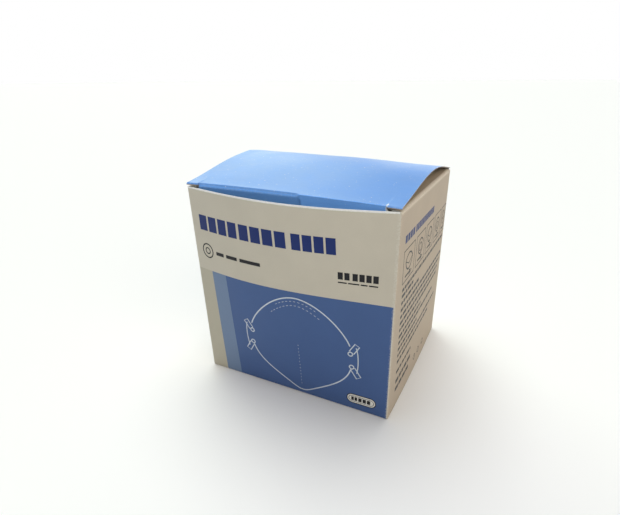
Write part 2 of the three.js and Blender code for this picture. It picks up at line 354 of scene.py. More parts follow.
class Nodes:
    """Short calls for building the node tree of a material or a world."""

    def __init__(self, owner):
        owner.use_nodes = True
        self.owner = owner
        self.tree = owner.node_tree
        self.shader = self.tree.nodes.get("Principled BSDF") or self.tree.nodes["Background"]

    def add(self, kind, **values):
        node = self.tree.nodes.new(kind)
        for key, value in values.items():
            setattr(node, key, value)
        return node

    def link(self, source, target):
        self.tree.links.new(source, target)

    def put(self, value, target):
        """Give a socket a number, a colour or a link."""
        if isinstance(value, (int, float)):
            target.default_value = value
        elif isinstance(value, tuple):
            target.default_value = (*value, 1.0)
        else:
            self.link(value, target)

    def attribute(self, name, output):
        return self.add("ShaderNodeAttribute", attribute_name=name).outputs[output]

    def scaled(self, vector, factors):
        node = self.add("ShaderNodeVectorMath", operation="MULTIPLY")
        self.link(vector, node.inputs[0])
        node.inputs[1].default_value = factors
        return node.outputs["Vector"]

    def toned(self, colour, tone):
        """A colour made lighter or darker by a tone near 1."""
        node = self.add("ShaderNodeVectorMath", operation="SCALE")
        node.inputs[0].default_value = colour
        self.link(tone, node.inputs["Scale"])
        return node.outputs["Vector"]

    def noise(self, vector, scale, detail):
        node = self.add("ShaderNodeTexNoise")
        self.link(vector, node.inputs["Vector"])
        node.inputs["Scale"].default_value = scale
        node.inputs["Detail"].default_value = detail
        return node.outputs["Fac"]

    def remap(self, value, low, high, to_low, to_high, smooth=False):
        node = self.add("ShaderNodeMapRange")
        if smooth:
            node.interpolation_type = "SMOOTHSTEP"
        self.link(value, node.inputs["Value"])
        for key, number in (("From Min", low), ("From Max", high), ("To Min", to_low), ("To Max", to_high)):
            node.inputs[key].default_value = number
        return node.outputs["Result"]

    def math(self, operation, a, b):
        node = self.add("ShaderNodeMath", operation=operation)
        self.put(a, node.inputs[0])
        self.put(b, node.inputs[1])
        return node.outputs["Value"]

    def mix(self, factor, a, b, blend="MIX"):
        node = self.add("ShaderNodeMix", data_type="RGBA", blend_type=blend)
        for name, value in (("Factor", factor), ("A", a), ("B", b)):
            self.put(value, node.inputs[name])
        return node.outputs["Result"]

    def bump(self, height, distance, strength=1.0, normal=None):
        node = self.add("ShaderNodeBump")
        self.link(height, node.inputs["Height"])
        node.inputs["Distance"].default_value = distance * MM
        node.inputs["Strength"].default_value = strength
        if normal:
            self.link(normal, node.inputs["Normal"])
        return node.outputs["Normal"]


RAW_BOARD = (0.84, 0.83, 0.79)
# Whitened coating: worn board, and also the colour of painted highlights along the front rim and the tuck's
# ends.
COAT_WEAR_AND_HIGHLIGHT = (0.90, 0.91, 0.90)
# whitening for the side walls' copy: darker and warmer as painted shade, and also the colour of the side
# creases' painted highlight
SHADED_SIDE_WEAR_AND_HIGHLIGHT = (0.82, 0.74, 0.63)
# Noise cells in a millimetre.
FIBRE_SCALE = 1.6
LONG_FIBRE_SCALE = 1.2
SCRATCH_SCALE = 1.0
CRACK_SCALE = 0.8
FLECK_SCALE = 0.55
STREAK_SCALE = 0.5
PLAIN_CLOUD_SCALE = 0.06
CLOUD_SCALE = 0.045


def flat_vector(nodes, cad):
    """Millimetre coordinates in the board, or in the frame for a CAD node."""
    if not cad:
        return nodes.attribute("flat", "Vector")
    coordinates = nodes.add("ShaderNodeTexCoord").outputs["Object"]
    return nodes.scaled(coordinates, (1 / MM,) * 3)


def coated_board(name, ink, roughness=0.42, wear_and_highlight_colour=COAT_WEAR_AND_HIGHLIGHT, flecks=0.0, cad=False, sheen=0.18):
    """Printed clay-coated board: even ink, faint clouds, fine tooth, and whitening from the
    wear_and_highlight attribute: worn creases, and painted highlights on some edges.
    """
    nodes = Nodes(bpy.data.materials.new(name))
    flat = flat_vector(nodes, cad)
    fibre = nodes.noise(flat, FIBRE_SCALE, 3)
    cloud = nodes.noise(flat, CLOUD_SCALE, 3)
    streak = nodes.noise(nodes.scaled(flat, (0.25, 1.0, 1.0)), STREAK_SCALE, 2)
    light = nodes.remap(cloud, 0.3, 0.7, 0.975, 1.025)
    fine = nodes.remap(fibre, 0.3, 0.7, 0.975, 1.025)
    tone = nodes.math("MULTIPLY", light, fine)
    colour = nodes.toned(ink, tone)
    # whitening: worn coating, and on some pieces a painted highlight along edges and creases
    whitening = nodes.attribute("wear_and_highlight", "Fac")
    broken = nodes.remap(nodes.noise(flat, CRACK_SCALE, 4), 0.35, 0.7, -0.18, 0.18)
    spread = nodes.math("MULTIPLY", broken, nodes.remap(whitening, 0.0, 0.2, 0.0, 1.0))
    mask = nodes.remap(nodes.math("ADD", whitening, spread), 0.05, 0.95, 0.0, 1.0)
    colour = nodes.mix(mask, colour, wear_and_highlight_colour)
    if flecks:
        speck = nodes.remap(nodes.noise(flat, FLECK_SCALE, 5), 0.665, 0.70, 0.0, flecks, smooth=True)
        lines = nodes.noise(nodes.scaled(flat, (0.035, 0.9, 1.0)), SCRATCH_SCALE, 2)
        scratch = nodes.remap(lines, 0.71, 0.75, 0.0, flecks * 0.35, smooth=True)
        colour = nodes.mix(nodes.math("MAXIMUM", speck, scratch), colour, RAW_BOARD)
    nodes.link(colour, nodes.shader.inputs["Base Color"])
    gloss = nodes.remap(nodes.math("ADD", cloud, streak), 0.7, 1.3, roughness - 0.05, roughness + 0.06)
    nodes.link(gloss, nodes.shader.inputs["Roughness"])
    swell = nodes.bump(cloud, 0.35, 0.5)
    nodes.link(nodes.bump(fibre, 0.012, 0.8, swell), nodes.shader.inputs["Normal"])
    nodes.shader.inputs["Specular IOR Level"].default_value = sheen
    return nodes.owner


def uncoated_board(name, colour, cad=False, grain=1.0):
    """Plain board: matt, faintly flecked with fibres."""
    nodes = Nodes(bpy.data.materials.new(name))
    flat = flat_vector(nodes, cad)
    fibre = nodes.noise(nodes.scaled(flat, (0.4, 1.0, 1.0)), LONG_FIBRE_SCALE, 5)
    cloud = nodes.noise(flat, PLAIN_CLOUD_SCALE, 3)
    light = nodes.remap(cloud, 0.3, 0.7, 0.98, 1.02)
    fine = nodes.remap(fibre, 0.3, 0.7, 1 - 0.06 * grain, 1 + 0.04 * grain)
    tint = nodes.toned(colour, nodes.math("MULTIPLY", light, fine))
    nodes.link(tint, nodes.shader.inputs["Base Color"])
    nodes.link(nodes.remap(fibre, 0.3, 0.7, 0.78, 0.92), nodes.shader.inputs["Roughness"])
    nodes.link(nodes.bump(fibre, 0.03, 0.7), nodes.shader.inputs["Normal"])
    return nodes.owner


WALL_INK = (0.61, 0.565, 0.475)
# The side walls and dust flaps take a darker, warmer copy of the wall print: painted shade for the walls
# away from the light.
SHADED_SIDE_INK = (0.55, 0.47, 0.38)
PALE_STRIPE_INK = (0.515, 0.48, 0.385)
LIGHT_STRIPE_INK = (0.178, 0.256, 0.405)
PANEL_INK = (0.068, 0.13, 0.315)
LID_INK = (0.13, 0.33, 0.78)
# The tuck is the lid's own board and ink; this lighter, stronger copy of LID_INK is painted light against
# the shade in the gap behind the rim.
LIGHTENED_TUCK_INK = (0.175, 0.43, 0.98)
NAVY_INK = (0.012, 0.03, 0.16)
TEXT_INK = (0.018, 0.018, 0.022)
LINE_INK = (0.62, 0.68, 0.76)
BADGE_INK = (0.88, 0.86, 0.80)

WALL = coated_board("wall_print", WALL_INK)
SHADED_SIDE = coated_board("side_print_shaded", SHADED_SIDE_INK, 0.6, SHADED_SIDE_WEAR_AND_HIGHLIGHT, sheen=0.03)
PALE_STRIPE = coated_board("pale_stripe_print", PALE_STRIPE_INK)
LIGHT_STRIPE = coated_board("light_stripe_print", LIGHT_STRIPE_INK)
PANEL = coated_board("panel_print", PANEL_INK)
LID_PRINT = coated_board("lid_print", LID_INK, 0.37, flecks=0.55, sheen=0.42)
LIGHTENED_TUCK_PRINT = coated_board("tuck_print_lightened", LIGHTENED_TUCK_INK, 0.40, flecks=0.3)
NAVY = coated_board("navy_ink", NAVY_INK)
TEXT = coated_board("text_ink", TEXT_INK)
LINE = coated_board("line_ink", LINE_INK)
BADGE = coated_board("badge_ink", BADGE_INK)
PLAIN = uncoated_board("plain_inside", (0.66, 0.61, 0.53))
CUT_EDGE = uncoated_board("cut_edge", RAW_BOARD, grain=1.5)
# The lid's cut edges are the same raw board as CUT_EDGE; this dark brown is painted shade for edges turned
# away from the light.
SHADED_LID_EDGE = uncoated_board("lid_cut_edge_shaded", (0.30, 0.26, 0.24), grain=1.5)
CAD_PLAIN = uncoated_board("plain_base_flaps", (0.62, 0.59, 0.52), cad=True)
CAD_WALL = coated_board("base_print", WALL_INK, cad=True)

BOARD_SET = [WALL, PLAIN, CUT_EDGE]
SHADED_SIDE_SET = [SHADED_SIDE, PLAIN, CUT_EDGE]
LIGHTENED_TUCK_SET = [LIGHTENED_TUCK_PRINT, PLAIN, CUT_EDGE]

# ---- Sleeve ----

STRAIGHT_X = HALF_WIDTH - CORNER_RADIUS
STRAIGHT_Y = HALF_DEPTH - CORNER_RADIUS
CORNER_LENGTH = CORNER_RADIUS * math.pi / 2
SIDE_CREASE_CENTRE = HALF_WIDTH - SIDE_CREASE_RADIUS
DUST_RISE = math.radians(2)
DUST_START = DUST_CREASE - SIDE_CREASE_CENTRE
SIDE_CREASE_HEIGHT = HEIGHT + BOARD / 2 + DUST_START * math.sin(DUST_RISE) - SIDE_CREASE_RADIUS
SIDE_CUT_HEIGHT = HEIGHT - BOARD
BACK_WALL_TOP = HEIGHT - REAR_CREASE_DROP
FOOT_SHARES = 5
EDGE_STEPS = (0.3, 0.6, 0.9, 1.3, 1.7)  # how far the close rows and columns lie from an edge

# The blue panel on the front: its upper edge, where its two stripes end, and its right edge.
PANEL_TOP = 97.2
PALE_STRIPE_EDGE = -66.3
LIGHT_STRIPE_EDGE = -51.4
PANEL_RIGHT = 81.3

def lay_out_walls():
    """The sleeve's four walls in order, anticlockwise from above.

    Each has where it starts in the flat blank's length, its first point, its direction and its
    length. A corner follows each.
    """
    u = -STRAIGHT_X
    runs = (
        ("front", -STRAIGHT_X, -HALF_DEPTH, 1, 0, 2 * STRAIGHT_X),
        ("right", HALF_WIDTH, -STRAIGHT_Y, 0, 1, 2 * STRAIGHT_Y),
        ("back", STRAIGHT_X, HALF_DEPTH, -1, 0, 2 * STRAIGHT_X),
        ("left", -HALF_WIDTH, STRAIGHT_Y, 0, -1, 2 * STRAIGHT_Y),
    )
    walls = []
    for name, x, y, dx, dy, length in runs:
        walls.append({"name": name, "u": u, "x": x, "y": y, "dx": dx, "dy": dy, "length": length})
        u += length + CORNER_LENGTH
    return walls


WALLS = lay_out_walls()


def wall_at(u):
    """The wall that u lies on, how far along it, and how far past its end into the corner."""
    for wall in reversed(WALLS):
        if u >= wall["u"] - 1e-6:
            along = u - wall["u"]
            return wall, min(along, wall["length"]), max(0.0, along - wall["length"])
    return WALLS[0], 0.0, 0.0


FOOT_CURL = FOOT_RADIUS * math.pi / 2  # length of board in the curled bottom edge


def foot(v, depth):
    """Inward shift and height of the curled bottom edge, for a flat height v."""
    if v >= FOOT_CURL:
        return depth, v - FOOT_CURL + FOOT_RADIUS
    angle = (FOOT_CURL - v) / FOOT_RADIUS
    radius = FOOT_RADIUS - depth
    return FOOT_RADIUS - radius * math.cos(angle), FOOT_RADIUS - radius * math.sin(angle)


def sleeve_point(u, v, depth):
    """A point of the sleeve, at a place u round the flat blank and v up it."""
    wall, along, past = wall_at(u)
    inward, z = foot(v, depth)
    x = wall["x"] + wall["dx"] * along
    y = wall["y"] + wall["dy"] * along
    out_x, out_y = wall["dy"], -wall["dx"]
    if past > 0:
        turn = past / CORNER_RADIUS
        x -= out_x * CORNER_RADIUS
        y -= out_y * CORNER_RADIUS
        normal_x = out_x * math.cos(turn) + wall["dx"] * math.sin(turn)
        normal_y = out_y * math.cos(turn) + wall["dy"] * math.sin(turn)
        radius = CORNER_RADIUS - inward
        return x + normal_x * radius, y + normal_y * radius, z
    bow = 0.0
    if wall["name"] == "front":
        bow = front_bow(x, z)
    elif wall["name"] in ("left", "right"):
        bow = side_bow(y, z)
    return x + out_x * (bow - inward), y + out_y * (bow - inward), z


def flat_height(z):
    """The flat blank's height for a height above the floor."""
    return z + FOOT_CURL - FOOT_RADIUS


def wall_top(u):
    """Height of the sleeve's edge or crease line at u."""
    wall, along, past = wall_at(u)
    if wall["name"] in ("front", "back"):
        here = HEIGHT if wall["name"] == "front" else BACK_WALL_TOP
        if past == 0:
            return here
        return lerp(here, SIDE_CREASE_HEIGHT, smoothstep(past / CORNER_LENGTH, 0.5, 1.0))
    y = wall["y"] + wall["dy"] * along
    if past > 0:
        on_left = wall["name"] == "left"
        start, beyond = (SIDE_CREASE_HEIGHT, HEIGHT) if on_left else (SIDE_CUT_HEIGHT, BACK_WALL_TOP)
        return lerp(start, beyond, smoothstep(past / CORNER_LENGTH, 0.0, 0.5))
    return SIDE_CUT_HEIGHT if y > DUST_REAR else SIDE_CREASE_HEIGHT


def sleeve_columns():
    """Columns round the sleeve, with some where the ink changes and at the dust flaps' ends."""
    us = []
    for wall in WALLS:
        start, end = wall["u"], wall["u"] + wall["length"]
        marks = set(spaced(start, end, 2.6, EDGE_STEPS))
        if wall["name"] == "front":
            marks |= {PALE_STRIPE_EDGE, LIGHT_STRIPE_EDGE, PANEL_RIGHT}
        if wall["name"] == "right":
            rear = start + DUST_REAR + STRAIGHT_Y
            marks |= {rear, rear + 0.05}
        if wall["name"] == "left":
            rear = end - DUST_REAR - STRAIGHT_Y
            marks |= {rear - 0.05, rear}
        us += sorted(marks)
        us += [end + CORNER_LENGTH * i / 6 for i in range(1, 6)]
    return us


def sleeve_shares():
    """Shares of the height, with rows on the panel's upper edge and close ones at both ends."""
    top = flat_height(HEIGHT)
    rows = {FOOT_CURL * i / FOOT_SHARES for i in range(FOOT_SHARES)}
    rows |= set(spaced(FOOT_CURL, flat_height(PANEL_TOP), 2.8, (0.4, 1.0)))
    rows |= set(spaced(flat_height(PANEL_TOP), top, 2.8, EDGE_STEPS))
    return [row / top for row in sorted(rows)]


def sleeve_wear_and_highlights(u, v):
    """Paler coating along the front rim, the right front crease and the bottom edges. The rim's full band
    and the right crease's strip are partly wear and partly a painted highlight.
    """
    wall, along, past = wall_at(u)
    from_end = max(0.0, wall["length"] - along) if wall["name"] == "front" else along
    beside_right = wall["name"] == "front" or (wall["name"] == "right" and past == 0)
    # pale strip down the right front crease: partly wear, partly a painted highlight of the rounded crease
    upright = 0.16 * (1 - smoothstep(from_end, 0.2, 1.8)) * beside_right
    low = 0.2 * (1 - smoothstep(v, 0.9, 2.2))
    from_top = flat_height(wall_top(u)) - v
    is_rim = wall["name"] == "front" and past == 0
    # full whitening along the front rim: a worn cut edge widened into a painted highlight; the other walls'
    # tops are only worn
    high = (1.0 if is_rim else 0.3) * (1 - smoothstep(from_top, 0.9, 1.3))
    return max(upright, low, high)


def wall_ink(u, v):
    """The place of a patch's ink: the side walls' painted-shade copy of the wall print goes half way round
    each corner.
    """
    wall, along, past = wall_at(u)
    on_side = wall["name"] in ("left", "right")
    if on_side != (past > CORNER_LENGTH / 2):
        return TURNED_PLACE
    if on_side or wall["name"] == "back" or past > 0 or v > flat_height(PANEL_TOP) or u > PANEL_RIGHT:
        return PRINTED
    if u < PALE_STRIPE_EDGE:
        return PALE_PLACE
    return LIGHT_PLACE if u < LIGHT_STRIPE_EDGE else PANEL_PLACE


def build_sleeve():
    piece = board_piece(
        "carton_walls",
        sleeve_columns(),
        lambda u: (0.0, flat_height(wall_top(u))),
        sleeve_shares(),
        sleeve_point,
        BOARD_SET + [PALE_STRIPE, LIGHT_STRIPE, PANEL, SHADED_SIDE],
        sleeve_wear_and_highlights,
        wall_ink,
        wrap=True,
    )
    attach(piece, "carton")
    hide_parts("sleeve")


# ---- Dust flaps and their creases ----

DUST_SHOULDER = 6.2  # width of the shoulder in the front corner beside the tuck
DUST_STEP = 1.7  # set-back of the front edge behind the shoulder
DUST_FRONT_TAPER = 4.0  # how much narrower the flap's free end is at the front
DUST_REAR_TAPER = 26.0  # and at the rear
DUST_ROUND = 8.0
QUARTER = math.pi / 2 + DUST_RISE  # how far the crease turns from the wall to the flap


def round_end(reach, end, radius):
    """How far a rounded corner of that radius cuts in at a distance along."""
    past = max(0.0, reach - (end - radius))
    return radius - math.sqrt(max(0.0, radius * radius - past * past))


def dust_span(reach):
    """Front and rear edge of a dust flap at a distance in from its crease."""
    share = reach / DUST_REACH
    step = DUST_STEP * smoothstep(reach, DUST_SHOULDER, DUST_SHOULDER + DUST_STEP)
    past = max(0.0, reach - DUST_SHOULDER - DUST_STEP) / (DUST_REACH - DUST_SHOULDER - DUST_STEP)
    corner = round_end(reach, DUST_REACH, DUST_ROUND)
    front = DUST_FRONT + step + DUST_FRONT_TAPER * past + corner
    rear = DUST_REAR - DUST_REAR_TAPER * share - corner
    return front, rear


def build_dust_flap(side, word):
    def flap_point(reach, y, depth):
        up = BOARD / 2 - depth
        curl = 0.5 * math.sin(math.pi * min(1.0, reach / DUST_REACH)) * (y / HALF_DEPTH)
        x = DUST_CREASE - reach * math.cos(DUST_RISE) - up * math.sin(DUST_RISE)
        z = HEIGHT + reach * math.sin(DUST_RISE) + up * math.cos(DUST_RISE) + curl * 0.4
        return side * x, y, z

    def crease_point(angle, y, depth):
        radius = SIDE_CREASE_RADIUS - depth
        x = SIDE_CREASE_CENTRE + radius * math.cos(angle)
        z = SIDE_CREASE_HEIGHT + radius * math.sin(angle)
        x += side_bow(y, z) * (1 - angle / QUARTER)
        return side * x, y, z

    def flap_wear_and_highlights(reach, y):
        front, rear = dust_span(reach)
        edge = min(y - front, rear - y, DUST_REACH - reach)
        at_edge = 0.7 * (1 - smoothstep(edge, 0.3, 1.0))
        # painted highlight along the shoulder beside the tuck, where the flap's front edge catches light;
        # the other edges are worn
        shoulder = 0.9 * (1 - smoothstep(y - front, 1.6, 2.6)) * (reach < DUST_SHOULDER + DUST_STEP)
        return max(at_edge, shoulder)

    reaches = spaced(DUST_START, DUST_REACH - 0.02, 2.6, EDGE_STEPS)
    reaches += [DUST_SHOULDER, DUST_SHOULDER + DUST_STEP]
    reaches += [DUST_REACH - DUST_ROUND * (1 - math.sin(t * math.pi / 20)) for t in range(10)]
    reaches = sorted({round(r, 3) for r in reaches}, reverse=side > 0)
    rows = sorted({i / 60 for i in range(61)} | {0.004, 0.01, 0.02, 0.025})
    flap = board_piece(f"dust_flap_board_{word}", reaches, dust_span, rows, flap_point, SHADED_SIDE_SET, flap_wear_and_highlights)
    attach(flap, f"dust_{word}")
    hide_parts(f"dust_flap_{word}")

    angles = [QUARTER * i / 10 for i in range(11)]
    if side > 0:
        angles.reverse()
    ends = (-STRAIGHT_Y, DUST_REAR)
    # The whole side crease is whitened evenly at 0.72: partly wear, partly a painted highlight of the bend
    # catching light.
    crease = board_piece(
        f"dust_crease_{word}", angles, lambda a: ends, rows, crease_point, SHADED_SIDE_SET, lambda a, y: 0.72
    )
    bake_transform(crease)


# ---- Lid, tuck and their creases ----

LID_REAR = HALF_DEPTH - REAR_CREASE_RUN
TAB_TURN = 0.01  # columns up to this far past a slit's inner side still end at the front crease


def lid_front(x):
    """Front edge of the lid: the crease between the slits, and the corner tabs' ends beyond."""
    return -HALF_DEPTH if abs(x) > SLIT_INNER + TAB_TURN else TUCK_FACE + FRONT_CREASE_BACK


def lid_point(x, y, depth):
    return x, y, lid_top(x, y) - depth


def lid_wear(x, y):
    side = HALF_WIDTH - abs(x)
    front = y - lid_front(x)
    at_sides = 0.15 * (1 - smoothstep(side, 0.1, 0.9))
    at_front = 0.1 * (1 - smoothstep(front, 0.1, 1.4))
    slit = math.hypot(x - SLIT_OUTER, (y - TUCK_FACE - 1.0) * 0.5)
    return max(at_sides, at_front, 0.9 * (1 - smoothstep(slit, 0.5, 1.2)))


def build_lid():
    inner = spaced(-SLIT_INNER, SLIT_INNER, 2.6, EDGE_STEPS)
    inner += [BEVEL_END - BEVEL_ROUND * (1 - math.cos(math.pi * i / 16)) for i in range(9)]
    tabs = spaced(SLIT_OUTER, HALF_WIDTH, 1.6, EDGE_STEPS)
    us = [-u for u in reversed(tabs)] + sorted(set(inner)) + tabs
    near = (0.0, 0.25, 0.5, 0.8, 1.05, 1.15, 1.4, 2.0, 3.2)
    length = LID_REAR - TUCK_FACE - FRONT_CREASE_BACK
    rows = {n / length for n in near} | {s / length for s in spaced(4.6, length, 2.6)}
    lid = board_piece(
        "lid_board",
        us,
        lambda x: (lid_front(x), LID_REAR),
        sorted(rows),
        lid_point,
        [LID_PRINT, PLAIN, SHADED_LID_EDGE],
        lid_wear,
    )
    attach(lid, "lid")
    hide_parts("lid_panel")


def bezier(a, c, b, t):
    """A point on the quadratic curve from a to b, with its corner at c."""
    return tuple((1 - t) ** 2 * p + 2 * t * (1 - t) * q + t * t * r for p, q, r in zip(a, c, b))


def build_rear_crease():
    def crease_point(x, t, depth):
        low = (HALF_DEPTH - depth, BACK_WALL_TOP)
        corner = (HALF_DEPTH - depth, lid_top(x, HALF_DEPTH) - depth)
        high = (LID_REAR, lid_top(x, LID_REAR) - depth)
        y, z = bezier(low, corner, high, t)
        return x, y, z

    us = spaced(-STRAIGHT_X, STRAIGHT_X, 2.6, EDGE_STEPS)
    us.reverse()
    rows = [i / 14 for i in range(15)]
    crease = board_piece(
        "lid_rear_crease",
        us,
        lambda x: (0.0, 1.0),
        rows,
        crease_point,
        BOARD_SET + [LID_PRINT],
        lambda x, t: 0.12 * math.sin(math.pi * t),
        lambda x, t: LID_PLACE if t > 0.45 else PRINTED,
    )
    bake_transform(crease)


TUCK_ROUND = 10.0  # radius of the tuck's lower corners
TUCK_END_SLOPE = 1.18  # how steeply the tuck's upper edge drops outside the slits
LEAN_LEFT = 0.05  # how far the tuck leans forward for each millimetre down, left of its dent
LEAN_RIGHT = 0.34
DENT_REACH = 5.0
DENT_COLUMNS = [BEVEL_END + DENT_REACH * i / 10 for i in range(-10, 11)]


def crease_height(x):
    """Height of the lid's front crease."""
    return lid_top(x, TUCK_FACE)


def crease_foot(x):
    """Lower edge of the front crease, or its height at the nearest slit."""
    return crease_height(math.copysign(min(abs(x), SLIT_INNER), x)) - FRONT_CREASE_DROP


def tuck_top(x):
    """Upper edge of the tuck, which drops away outside the slits."""
    return crease_foot(x) - max(0.0, abs(x) - SLIT_INNER) * TUCK_END_SLOPE


def tuck_span(x):
    return TUCK_BOTTOM + round_end(abs(x), TUCK_HALF, TUCK_ROUND), tuck_top(x)


def tuck_lean(x, drop):
    """How far the tuck leans forward: upright left of a dent, and slanting right of it."""
    room = max(0.0, front_bow(x, TUCK_BOTTOM) - 1.3)
    dent = BEVEL_END + 0.6 + 1.6 * math.sin(math.pi * min(1.0, drop / 13))
    spread = 1.4 + 0.8 * max(0.0, drop - 6)
    right = smoothstep(x, dent - spread, dent + spread)
    lean = lerp(LEAN_LEFT, LEAN_RIGHT, right)
    bead = 0.35 * math.exp(-(((x - dent) / 1.1) ** 2)) * smoothstep(drop, 0, 2)
    return min(lean * drop, room) + min(bead, room)


def tuck_point(x, z, depth):
    return x, TUCK_FACE + depth - tuck_lean(x, max(0.0, crease_foot(x) - z)), z


def tuck_wear_and_highlights(x, z):
    low, high = tuck_span(x)
    edge = min(z - low, high - z + 0.35 if abs(x) < SLIT_INNER else (high - z) * 0.6, TUCK_HALF - abs(x))
    # full whitening at the ends beside the slits: a painted highlight of the lit cut end; elsewhere light
    # edge wear
    at_end = smoothstep(abs(x), SLIT_INNER - 0.5, SLIT_INNER + 0.5)
    return lerp(0.08, 1.0, at_end) * (1 - smoothstep(edge, 0.6, 1.3))


def build_tuck():
    us = spaced(-SLIT_INNER, SLIT_INNER, 2.4, EDGE_STEPS)
    us += DENT_COLUMNS
    us += [side * (TUCK_HALF - 0.03 - n) for side in (-1, 1) for n in (0, 0.3, 0.8, 1.4, 2.0, 2.7)]
    us = sorted({round(u, 3) for u in us})
    rows = sorted({i / 24 for i in range(25)} | {0.98, 0.99})
    tuck = board_piece("tuck_board", us, tuck_span, rows, tuck_point, LIGHTENED_TUCK_SET, tuck_wear_and_highlights)
    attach(tuck, "tuck")
    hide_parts("tuck_flap")

    def crease_point(x, t, depth):
        back = TUCK_FACE + FRONT_CREASE_BACK
        top = (back, lid_top(x, back) - depth)
        corner = (TUCK_FACE + depth, crease_height(x) - depth)
        low = (TUCK_FACE + depth, crease_height(x) - FRONT_CREASE_DROP)
        y, z = bezier(low, corner, top, t)
        return x, y, z

    xs = spaced(-SLIT_INNER, SLIT_INNER, 2.4, EDGE_STEPS)
    xs = sorted({round(x, 3) for x in xs + DENT_COLUMNS})
    crease = board_piece(
        "tuck_crease",
        xs,
        lambda x: (0.0, 1.0),
        [i / 12 for i in range(13)],
        crease_point,
        LIGHTENED_TUCK_SET,
        lambda x, t: 0.1 * math.sin(math.pi * t),
    )
    crease_height(0) * MM
    crease_height(0) * MM
    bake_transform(crease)


# ---- Print on the front wall ----


def front_point(x, z, depth):
    return x, -HALF_DEPTH - front_bow(x, z) + depth, z


def right_point(y, z, depth):
    return HALF_WIDTH + side_bow(y, z) - depth, y, z


def cubic(p0, p1, p2, p3, steps):
    """Points along a cubic curve."""
    points = []
    for i in range(steps + 1):
        t = i / steps
        k = ((1 - t) ** 3, 3 * t * (1 - t) ** 2, 3 * t * t * (1 - t), t**3)
        points.append(tuple(k[0] * a + k[1] * b + k[2] * c + k[3] * d for a, b, c, d in zip(p0, p1, p2, p3)))
    return points


MASK_CENTRE = 10.2
MASK_TOP = 92.0
MASK_BOTTOM = 4.2
MASK_LINE = 1.0  # widths of the strokes
LOOP_LINE = 0.8
DASH_LINE = 0.32
CLIP_HALF_WIDTH = 2.0
EYELET_RADIUS = 1.7


def mirrored(path):
    """The same path on the other side of the drawing's centre line."""
    return [(2 * MASK_CENTRE - x, z) for x, z in path]


def draw_mask(film):
    """A plain line drawing of a folded mask with its ear loops, nose wire and centre fold."""
    c = MASK_CENTRE
    upper = cubic((c - 41.6, 59.5), (c - 36.5, 72.5), (c - 17, MASK_TOP), (c, MASK_TOP), 26)
    lower = cubic((c - 42.2, 38.5), (c - 38.5, 24.5), (c - 24, 17), (c - 9, 7.6), 22)
    tip = cubic((c - 9, 7.6), (c - 5.5, 5.4), (c - 3, MASK_BOTTOM), (c, MASK_BOTTOM), 7)
    low_half = lower + tip[1:]
    top = upper + mirrored(upper)[-2::-1]
    film.ribbon(top, MASK_LINE)
    film.ribbon(low_half + mirrored(low_half)[-2::-1], MASK_LINE)
    for side in (-1, 1):
        x = c + side * 47.0
        bow = cubic((x - side * 0.6, 59), (x + side * 1.4, 53), (x + side * 1.4, 43), (x, 36), 10)
        film.ribbon(bow, LOOP_LINE)
        draw_clip(film, (c + side * 47.2, 61.2), (c + side * 41.0, 51.2))
        draw_clip(film, (c + side * 48.5, 32.0), (c + side * 42.0, 42.6))
    draw_dashes(film, inside(top, 6.4, 22.5), 1.6, 1.7)
    draw_dashes(film, inside(top, 2.9, 17.0), 1.6, 1.7)
    draw_dashes(film, [(c - 0.4, 50.0), (c - 0.4, 8.0)], 0.9, 2.3)


def inside(path, inset, half):
    """The middle stretch of a path, moved below it by inset."""
    points = []
    for before, after in zip(path, path[1:]):
        along = Vector((after[0] - before[0], after[1] - before[1])).normalized()
        x = before[0] + along.y * inset
        if abs(x - MASK_CENTRE) < half:
            points.append((x, before[1] - along.x * inset))
    return points


def draw_dashes(film, path, dash, gap):
    """Short strokes along a path."""
    starts = [0.0]
    for before, after in zip(path, path[1:]):
        starts.append(starts[-1] + math.dist(before, after))

    def at(distance):
        for i in range(1, len(path)):
            if distance <= starts[i]:
                t = (distance - starts[i - 1]) / (starts[i] - starts[i - 1])
                return tuple(lerp(a, b, t) for a, b in zip(path[i - 1], path[i]))
        return path[-1]

    place = 0.0
    while place + dash < starts[-1]:
        film.ribbon([at(place), at(place + dash)], DASH_LINE)
        place += dash + gap


def draw_clip(film, outer, inner):
    """A small tab that holds an ear loop, with an eyelet at its inner end."""
    start, end = Vector(outer), Vector(inner)
    along = (end - start).normalized()
    across = Vector((along.y, -along.x)) * CLIP_HALF_WIDTH
    shoulder = end - along * 3.6
    corners = [start + across, shoulder + across, shoulder - across, start - across]
    film.ribbon([tuple(p) for p in corners], 0.85, closed=True)
    eye = end - along * 1.8
    film.ring(eye.x, eye.y, EYELET_RADIUS, 0.9)


def word_bars(film, left, right, heights, widths, gap):
    """A run of plain bars with the widths given, in place of a line of words."""
    total = sum(widths) + gap * (len(widths) - 1)
    scale = (right - left) / total
    x = left
    for width in widths:
        film.block(x, x + width * scale, *heights)
        x += (width + gap) * scale


def finish_print(film, name, material):
    piece = film.piece(name, material)
    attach(piece, "carton")


